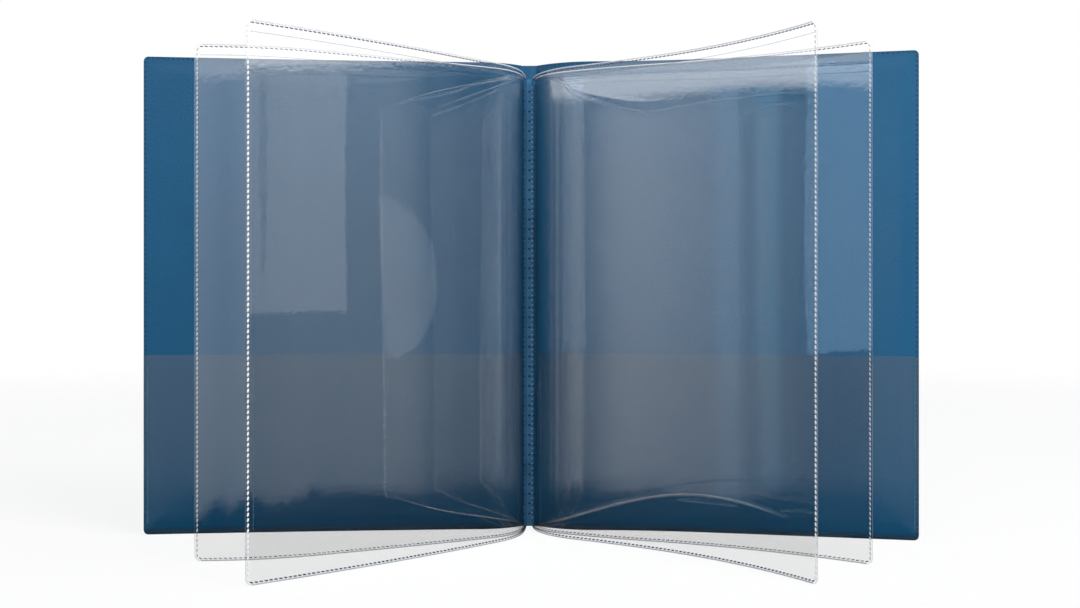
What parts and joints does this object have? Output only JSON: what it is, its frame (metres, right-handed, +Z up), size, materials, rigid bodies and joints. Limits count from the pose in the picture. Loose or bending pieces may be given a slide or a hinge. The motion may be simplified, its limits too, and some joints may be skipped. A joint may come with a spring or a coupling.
{
  "type": "display book",
  "caption": "Vinyl display book standing open: blue cover with clear half-height pockets inside and clear stitch-welded pocket leaves that turn at the spine.",
  "frame": {"origin": "middle of the spine at its foot, between the cover's two plies", "axes": "+Z up along the spine, +X to the reader's right, +Y away from the reader"},
  "size_m": [0.4781, 0.1712, 0.2984],
  "materials": {
    "blue_vinyl": "satin",
    "clear_vinyl": "satin",
    "clear_film": "gloss"
  },
  "bodies": {
    "spine": {"spine_outer_skin": "blue_vinyl", "spine_inner_lining": "blue_vinyl", "outer_leaf_spine": "clear_film", "inner_leaf_spine": "clear_film", "left_pocket_root": "clear_vinyl", "right_pocket_root": "clear_vinyl"},
    "left_cover": {"left_cover_outer_skin": "blue_vinyl", "left_cover_inner_lining": "blue_vinyl", "left_cover_pocket": "clear_vinyl"},
    "right_cover": {"right_cover_outer_skin": "blue_vinyl", "right_cover_inner_lining": "blue_vinyl", "right_cover_pocket": "clear_vinyl"},
    "left_inner_leaf": {"left_inner_leaf_back_film": "clear_film", "left_inner_leaf_front_film": "clear_film"},
    "left_outer_leaf": {"left_outer_leaf_back_film": "clear_film", "left_outer_leaf_front_film": "clear_film"},
    "right_inner_leaf": {"right_inner_leaf_back_film": "clear_film", "right_inner_leaf_front_film": "clear_film"},
    "right_outer_leaf": {"right_outer_leaf_back_film": "clear_film", "right_outer_leaf_front_film": "clear_film"}
  },
  "joints": [
    {"name": "left_cover_hinge", "type": "hinge", "parent": "spine", "child": "left_cover", "pos_m": [-0.02104, -0.01009, 0], "axis": [0, 0, 1], "range_deg": [-85, 84]},
    {"name": "right_cover_hinge", "type": "hinge", "parent": "spine", "child": "right_cover", "pos_m": [0.01905, -0.00972, 0], "axis": [0, 0, -1], "range_deg": [-85, 76]},
    {"name": "left_inner_leaf_hinge", "type": "hinge", "parent": "spine", "child": "left_inner_leaf", "pos_m": [-0.00977, -0.04399, 0], "axis": [0, 0, 1], "range_deg": [-48.45, 47.88]},
    {"name": "right_inner_leaf_hinge", "type": "hinge", "parent": "spine", "child": "right_inner_leaf", "pos_m": [0.00813, -0.02615, 0], "axis": [0, 0, -1], "range_deg": [-51, 45.6]},
    {"name": "left_outer_leaf_hinge", "type": "hinge", "parent": "spine", "child": "left_outer_leaf", "pos_m": [-0.01594, -0.03742, 0], "axis": [0, 0, 1], "range_deg": [-66.3, 65.52]},
    {"name": "right_outer_leaf_hinge", "type": "hinge", "parent": "spine", "child": "right_outer_leaf", "pos_m": [0.01613, -0.02469, 0], "axis": [0, 0, -1], "range_deg": [-68, 60.8]}
  ],
  "couplings": [
    {"joint": "left_inner_leaf_hinge", "follows": "left_cover_hinge", "ratio": 0.57},
    {"joint": "right_inner_leaf_hinge", "follows": "right_cover_hinge", "ratio": 0.6},
    {"joint": "left_outer_leaf_hinge", "follows": "left_cover_hinge", "ratio": 0.78},
    {"joint": "right_outer_leaf_hinge", "follows": "right_cover_hinge", "ratio": 0.8}
  ]
}
